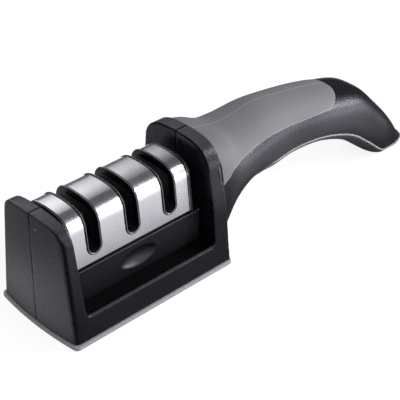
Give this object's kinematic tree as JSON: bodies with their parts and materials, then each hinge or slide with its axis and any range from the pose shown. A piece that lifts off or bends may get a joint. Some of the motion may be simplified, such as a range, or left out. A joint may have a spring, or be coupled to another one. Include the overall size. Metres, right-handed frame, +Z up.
{
  "type": "knife sharpener",
  "caption": "Pull-through knife sharpener: a walled base with a lift-out slotted cartridge under a steel cover, and an arched handle with a soft grip.",
  "frame": {"origin": "middle of the whole length and width, at table level under the part", "axes": "+X along the handle to its tail, +Y to the right-hand side as the handle is held looking at the slots, +Z up from the table"},
  "size_m": [0.212, 0.048, 0.0573],
  "materials": {
    "black_plastic": "fine texture, satin",
    "grey_rubber": "matte",
    "grey_grip": "matte, soft",
    "cartridge_plastic": "satin",
    "cover_steel": "brushed across the arch",
    "screw_steel": "plain",
    "diamond_grit": "coated with abrasive grit",
    "hard_metal": "ground",
    "white_ceramic": "unglazed, fine"
  },
  "bodies": {
    "base": {"housing_left": "black_plastic", "housing_right": "black_plastic", "foot_rim_left": "grey_rubber", "foot_rim_right": "grey_rubber", "grip_inlay_left": "grey_grip", "grip_inlay_right": "grey_grip", "tail_pad_left": "grey_rubber", "tail_pad_right": "grey_rubber", "housing_screws": "screw_steel"},
    "cartridge": {"cartridge_cover": "cover_steel", "cartridge_body": "cartridge_plastic", "cartridge_floor": "cartridge_plastic", "cartridge_screws": "screw_steel", "diamond_holder": "cartridge_plastic", "diamond_rod_front": "diamond_grit", "diamond_rod_rear": "diamond_grit", "carbide_holder": "cartridge_plastic", "carbide_blade_front": "hard_metal", "carbide_blade_rear": "hard_metal", "carbide_screws": "screw_steel", "ceramic_holder": "cartridge_plastic", "ceramic_rod_front": "white_ceramic", "ceramic_rod_rear": "white_ceramic"}
  },
  "joints": [
    {"name": "cartridge_lift", "type": "slide", "parent": "base", "child": "cartridge", "axis": [0, 0, 1], "range_m": [0, 0.06]}
  ]
}
